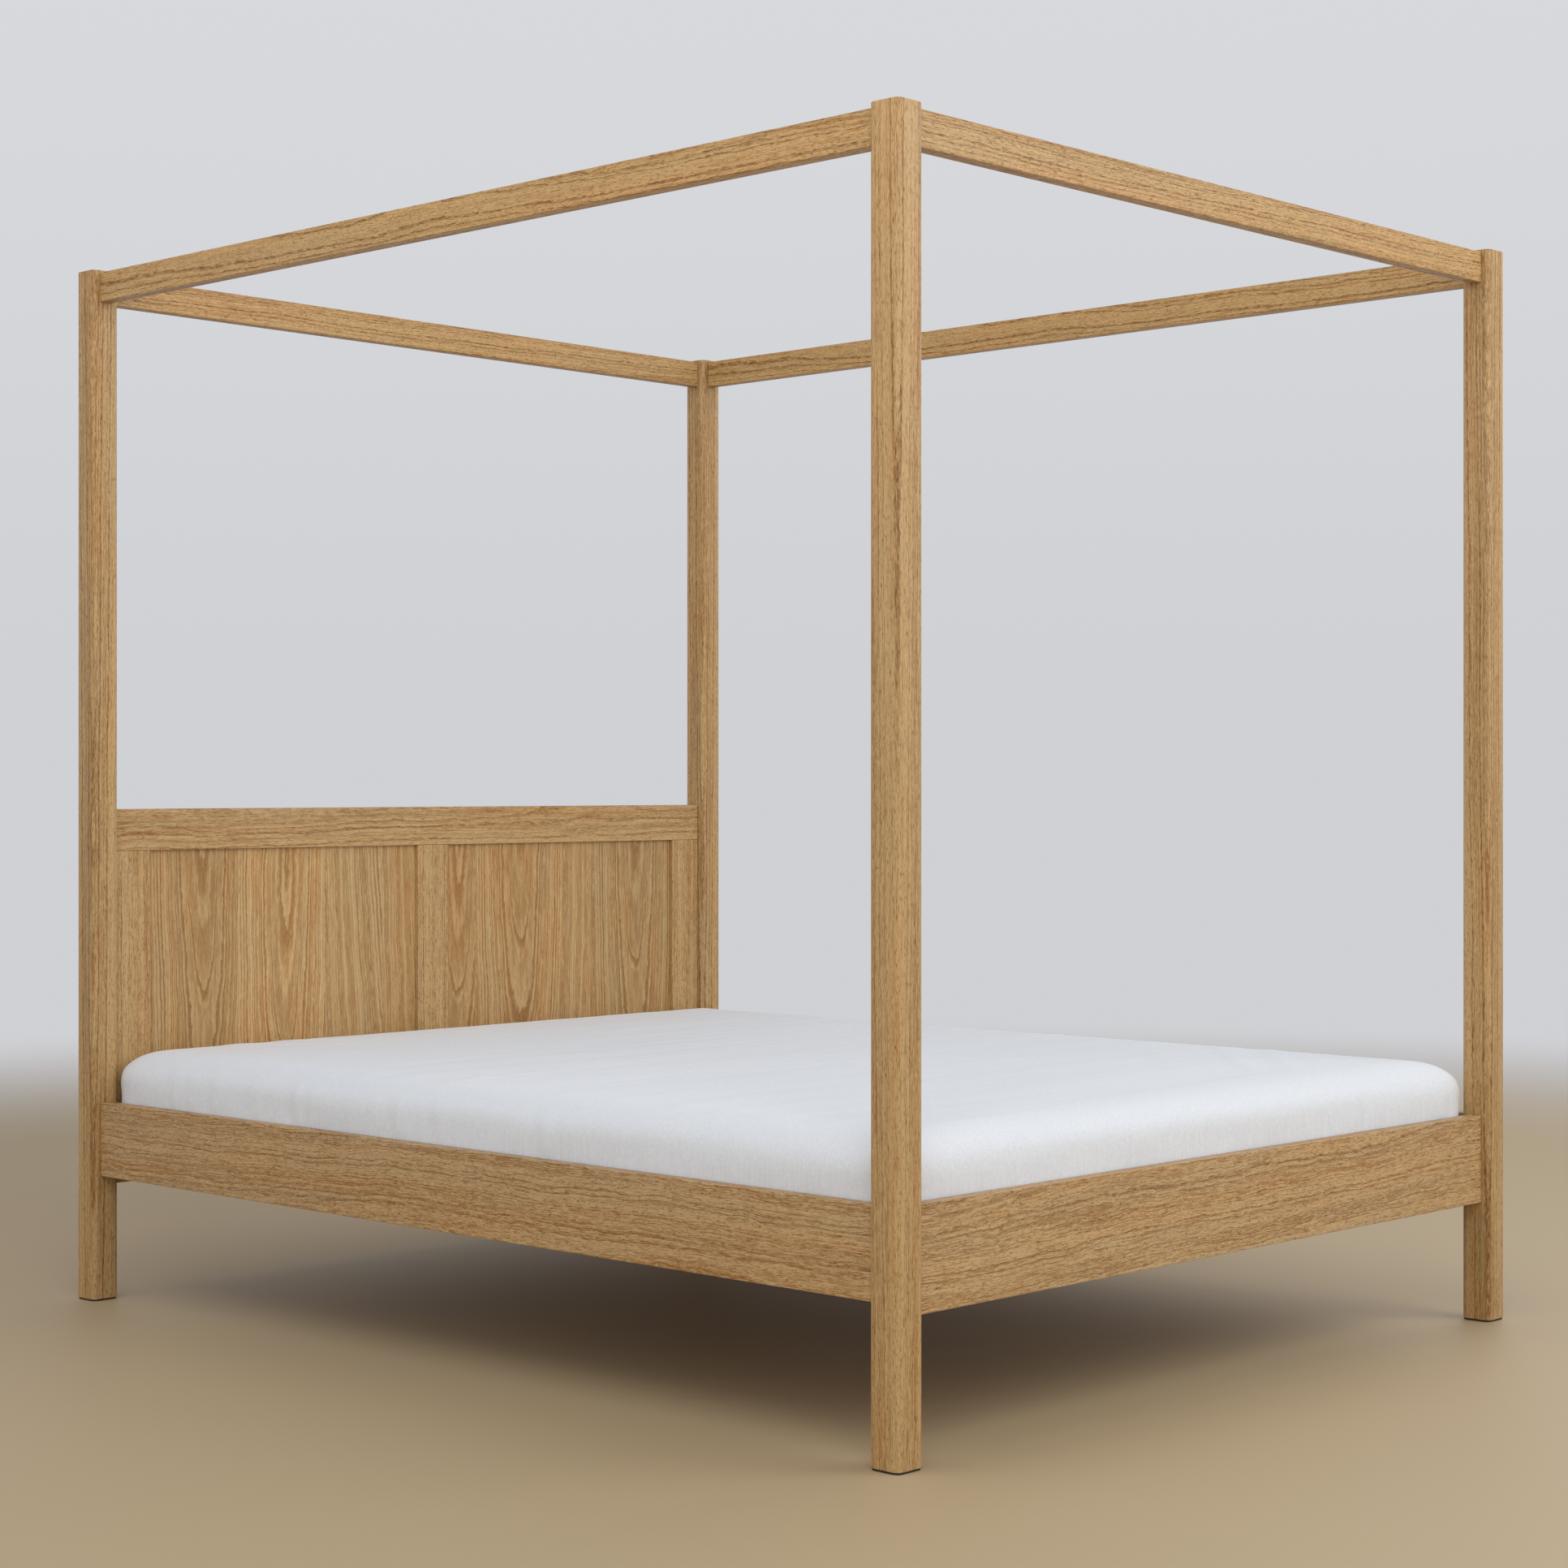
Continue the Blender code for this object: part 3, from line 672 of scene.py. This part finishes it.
def settle(sheet, core):
    """Lets the sheet, cut a little larger than the mattress, settle on it as cloth. Its tuck is held."""
    held = sheet.vertex_groups.new(name="held")
    base = min(v.co.z for v in sheet.data.vertices)
    held.add([v.index for v in sheet.data.vertices if v.co.z < base + HELD_UP_TO], 1.0, "REPLACE")
    start = [v.co.copy() for v in sheet.data.vertices]
    collision = core.modifiers.new("Collision", "COLLISION")
    core.collision.thickness_outer = 0.002
    core.collision.cloth_friction = 12
    cloth = sheet.modifiers.new("Cloth", "CLOTH")
    set_up = cloth.settings
    set_up.quality = 6
    set_up.mass = 0.25
    set_up.tension_stiffness = set_up.compression_stiffness = 30
    set_up.shear_stiffness = 12
    set_up.bending_stiffness = 2.5
    set_up.shrink_min = -0.007
    set_up.vertex_group_mass = "held"
    set_up.pin_stiffness = 1
    cloth.collision_settings.distance_min = 0.001
    cloth.collision_settings.use_self_collision = False
    scene = bpy.context.scene
    cloth.point_cache.frame_start, cloth.point_cache.frame_end = 1, CLOTH_FRAMES
    for moment in range(1, CLOTH_FRAMES + 1):
        scene.frame_set(moment)
    settled = sheet.evaluated_get(bpy.context.evaluated_depsgraph_get())
    moved = [v.co.copy() for v in settled.data.vertices]
    sheet.modifiers.remove(cloth)
    core.modifiers.remove(collision)
    scene.frame_set(1)
    for vertex, before, after in zip(sheet.data.vertices, start, moved):
        reach = SNUG if before.z < LOOSE_ABOVE else LOOSE
        shift = after - before
        vertex.co = before + shift * min(1.0, reach / max(shift.length, 1e-9))


def bell(distance, width):
    """1 at no distance, and close to 0 past twice the width."""
    return math.exp(-((distance / width) ** 2))


def window(value, start, end, soft):
    """1 from start to end, and down to 0 over soft at either side."""
    inside = min((value - start) / soft, (end - value) / soft)
    inside = min(max(inside + 0.5, 0.0), 1.0)
    return inside * inside * (3 - 2 * inside)


# Creases across the top, pressed in when the sheet was folded: Y where X is 0, slope, X from and to, height
CREASES = (
    (-0.106, 0.016, -0.72, 0.80, 0.0020), (-0.150, 0.020, -0.60, 0.50, 0.0011),
    (-0.060, 0.030, -0.70, 0.10, 0.0012), (0.150, 0.100, -0.72, 0.30, 0.0018),
    (0.060, 0.060, -0.50, 0.60, 0.0011), (0.385, 0.015, -0.66, 0.70, 0.0017),
    (0.270, 0.040, -0.40, 0.80, 0.0013), (0.520, 0.020, -0.30, 0.80, 0.0014),
    (0.660, -0.060, 0.10, 0.80, 0.0017), (-0.390, 0.010, -0.68, -0.20, 0.0010),
    (-0.560, 0.030, -0.10, 0.60, 0.0010), (0.330, 0.030, 0.00, 0.75, 0.0012),
    (0.450, 0.020, 0.10, 0.80, 0.0013), (0.590, -0.010, 0.00, 0.78, 0.0014),
    (0.210, 0.050, 0.05, 0.70, 0.0010),
)
# Diagonal folds on the top, drawn towards the corners: start and end in X and Y, height
DIAGONALS = (
    ((0.727, -0.525), (0.400, -0.830), 0.0018), ((0.794, -0.595), (0.460, -0.880), 0.0014),
    ((0.640, -0.430), (0.330, -0.700), 0.0007), ((-0.600, 0.980), (-0.380, 0.760), 0.0016),
    ((-0.500, 1.000), (-0.260, 0.800), 0.0013), ((-0.711, 0.055), (-0.600, 0.170), 0.0012),
)
# Tension folds down the left side and the foot: Y or X where they start, height, how much they lean
LEFT_FOLDS = (
    (0.815, 0.0016, 0.10), (0.683, 0.0018, -0.05), (0.560, 0.0008, 0.1), (0.430, 0.0020, 0.15),
    (0.385, 0.0012, 0.10), (0.274, 0.0010, 0.0), (0.136, 0.0020, 0.2), (0.024, 0.0014, 0.3),
    (-0.110, 0.0008, 0.1), (-0.251, 0.0018, 0.1), (-0.312, 0.0012, 0.0), (-0.500, 0.0009, -0.1),
    (-0.690, 0.0010, 0.1), (-0.860, 0.0012, -0.1),
)
FOOT_FOLDS = (
    (-0.640, 0.0010, 0.1), (-0.547, 0.0008, 0.0), (-0.330, 0.0009, -0.1), (-0.025, 0.0010, 0.1),
    (0.150, 0.0007, 0.0), (0.433, 0.0020, 0.1), (0.600, 0.0009, -0.1), (0.730, 0.0010, 0.1),
)
LEAN_FROM = 0.06  # how far down from the top the folds' own places are given
HIDDEN_BELOW = 0.40  # where the rails lie close, and the sheet is smoother by HIDDEN_SHARE
HIDDEN_SHARE = 0.25


def across_top(at):
    """How far the pressed creases stand out at a point on the top."""
    rise = 0.0
    for y, slope, start, end, height in CREASES:
        wander = 0.010 * noise.noise((at.x * 2.1, y * 9, 0.0))
        away = at.y - y - slope * at.x - wander
        fold = bell(away, 0.011) - 0.6 * bell(away - 0.021, 0.014)
        rise += height * fold * window(at.x, start, end, 0.25)
    return rise


def towards_corners(at):
    """How far the diagonal folds stand out at a point on the top."""
    rise = 0.0
    for start, end, height in DIAGONALS:
        line = Vector(end) - Vector(start)
        from_start = at.xy - Vector(start)
        along = from_start.dot(line) / line.length_squared
        away = (from_start.x * line.y - from_start.y * line.x) / line.length
        fold = bell(away, 0.016) - 0.5 * bell(away - 0.03, 0.02)
        rise += height * fold * window(along, 0.0, 1.0, 0.5)
    return rise


def down_side(at, normal, down):
    """How far the tension folds stand out on a side, where opposite sides mirror each other."""
    if abs(normal.x) > abs(normal.y):
        folds, along, mirrored = LEFT_FOLDS, at.y, at.x > 0
    else:
        folds, along, mirrored = FOOT_FOLDS, at.x, at.y > 0
    rise = 0.0
    for where, height, lean in folds:
        away = (-along if mirrored else along) - where + lean * (down - LEAN_FROM)
        rise += height * (bell(away, 0.014) - 0.7 * bell(away - 0.026, 0.018))
    return rise


def crease(sheet, high):
    """Presses the creases and folds into the sheet, each along the cloth's own normal there."""
    sheet.data.update()
    shifts = []
    for vertex in sheet.data.vertices:
        at, normal = vertex.co, vertex.normal
        down = high.z - at.z
        top = window(at.z, high.z - 0.012, high.z + 1, 0.012)
        side = window(down, 0.03, 0.30, 0.03)
        rise = top * (across_top(at) + towards_corners(at)) + side * down_side(at, normal, down)
        soft = 0.0010 * noise.noise(at * 3.0) + 0.0005 * noise.noise(at * 11.0)
        share = HIDDEN_SHARE if at.z < HIDDEN_BELOW else 1.0
        shifts.append(normal * (rise + soft) * share)
    for vertex, shift in zip(sheet.data.vertices, shifts):
        vertex.co += shift


def finer(obj):
    """Subdivides a piece once, for good."""
    modifier = obj.modifiers.new("Subdivision", "SUBSURF")
    modifier.levels = modifier.render_levels = 1
    made = bpy.data.meshes.new_from_object(obj.evaluated_get(bpy.context.evaluated_depsgraph_get()))
    obj.modifiers.remove(modifier)
    obj.data = made
    made.shade_smooth()


HEM_SIDES = 8
HEM_OUT = 0.0032  # half the hem's width
HEM_UP = 0.0009  # half its thickness
HEM_LIFT = 0.0006  # how far its middle lies above the sheet's edge


def elastic(sheet):
    """The gathered hem along the open edge of the sheet, with the elastic inside it."""
    mesh = bmesh.new()
    mesh.from_mesh(sheet.data)
    edge = {e for e in mesh.edges if e.is_boundary}
    first = min(edge, key=lambda e: e.index)
    vertex, loop = first.verts[0], []
    while edge:
        link = next((e for e in vertex.link_edges if e in edge), None)
        if link is None:
            break
        edge.discard(link)
        loop.append(vertex.co.copy())
        vertex = link.other_vert(vertex)
    mesh.free()
    hem = bmesh.new()
    rings = []
    for step, at in enumerate(loop):
        ahead = (loop[(step + 1) % len(loop)] - loop[step - 1]).normalized()
        across = ahead.cross(Vector((0, 0, 1)))
        swell = 1 + 0.35 * math.sin(step * 2.4) + 0.15 * math.sin(step * 5.3)
        ring = []
        for turn in range(HEM_SIDES):
            angle = turn * 2 * math.pi / HEM_SIDES
            out = across * math.cos(angle) * HEM_OUT + Vector((0, 0, 1)) * math.sin(angle) * HEM_UP
            ring.append(hem.verts.new(at + Vector((0, 0, HEM_LIFT)) + out * swell))
        rings.append(ring)
    for step, ring in enumerate(rings):
        after = rings[(step + 1) % len(rings)]
        for turn in range(HEM_SIDES):
            up = (turn + 1) % HEM_SIDES
            hem.faces.new((ring[turn], ring[up], after[up], after[turn]))
    bmesh.ops.recalc_face_normals(hem, faces=hem.faces[:])
    return to_object("sheet_hem", hem)


low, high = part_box("mattress")
inset = Vector((SHEET_GAP, SHEET_GAP, SHEET_GAP))
core = rounded_box("mattress_core", low + inset, high - inset, 0.04, *CORE_EDGE)
core.data.materials.append(ticking_material())
sheet = tucked_sheet(low, high)
settle(sheet, core)
finer(sheet)
crease(sheet, high)
hem = elastic(sheet)
cotton = sheet_material()
for piece in (sheet, hem):
    piece.data.materials.append(cotton)
for piece in (core, sheet, hem):
    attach(piece, "mattress")
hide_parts("mattress")

# ---------------------------------------------------------------- studio and camera

CAMERA_PLACE = (-4.1129, -3.9268, 1.0189)
CAMERA_TURN = -46.467
FIELD_OF_VIEW = 30.0
FLOOR_RADIUS = 12
FLOOR_FADE = (3.2, 7.0)  # from the bed's middle, where the floor starts to fade and where it is gone
LIGHTS_AIM = (0, 0, 0.8)


def studio():
    """Soft light from a pale sky and five panels, over a plain floor that fades into the backdrop."""
    scene = bpy.context.scene
    scene.view_settings.view_transform = "Standard"
    scene.view_settings.look = "None"
    world = bpy.data.worlds.new("studio")
    scene.world = world
    world.use_nodes = True
    tree = Tree(world.node_tree)
    up = tree.add("ShaderNodeSeparateXYZ", {0: tree.add("ShaderNodeTexCoord", output="Generated")}, "Z")
    background = world.node_tree.nodes["Background"]
    background.inputs["Color"].default_value = colour(238, 239, 243)

    # The sky brightens a little upwards from the horizon, then dims towards overhead.
    low_sky = tree.smooth(up, 0.0, 0.27, 0.735, 0.8)
    dimming = tree.smooth(up, 0.28, 0.7, 0.0, 0.42)
    strength = tree.math("SUBTRACT", low_sky, dimming)
    tree.tree.links.new(strength, background.inputs["Strength"])

    mesh = bmesh.new()
    bmesh.ops.create_circle(mesh, cap_ends=True, segments=96, radius=FLOOR_RADIUS)
    floor = to_object("floor", mesh)
    made, tree, bsdf = material("floor", roughness=0.6)
    bsdf.inputs["Base Color"].default_value = colour(184, 163, 128)
    away = tree.vector("LENGTH", place(tree), output="Value")
    clear = tree.tree.nodes.new("ShaderNodeBsdfTransparent").outputs[0]
    faded = {0: tree.smooth(away, *FLOOR_FADE), 1: bsdf.outputs[0], 2: clear}
    output = tree.tree.nodes["Material Output"].inputs["Surface"]
    tree.tree.links.new(tree.add("ShaderNodeMixShader", faded), output)
    floor.data.materials.append(made)
    floor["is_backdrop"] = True

    for name, where, size, power in (
        ("key", (1.4, -3.6, 3.2), 2.5, 50),
        ("front_left", (-3.6, -3.6, 3.6), 3.0, 75),
        ("right", (4.6, 0.0, 3.4), 3.0, 50),
        ("low_front", (0.5, -5.5, 1.6), 2.5, 18),
        ("over_left", (-2.6, 0.0, 4.0), 3.0, 38),
    ):
        data = bpy.data.lights.new(name, "AREA")
        data.size = size
        data.energy = power
        light = bpy.data.objects.new(name, data)
        light.location = where
        light.rotation_euler = (Vector(LIGHTS_AIM) - light.location).to_track_quat("-Z", "Y").to_euler()
        scene.collection.objects.link(light)


def camera():
    """A level camera beyond the left foot post, which looks along the bed's diagonal."""
    data = bpy.data.cameras.new("camera")
    data.sensor_fit = "HORIZONTAL"
    data.angle = math.radians(FIELD_OF_VIEW)
    data.clip_start = 0.05
    obj = bpy.data.objects.new("camera", data)
    obj.location = CAMERA_PLACE
    obj.rotation_euler = (math.radians(90), 0, math.radians(CAMERA_TURN))
    bpy.context.scene.collection.objects.link(obj)
    bpy.context.scene.camera = obj


studio()
camera()
low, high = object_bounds()
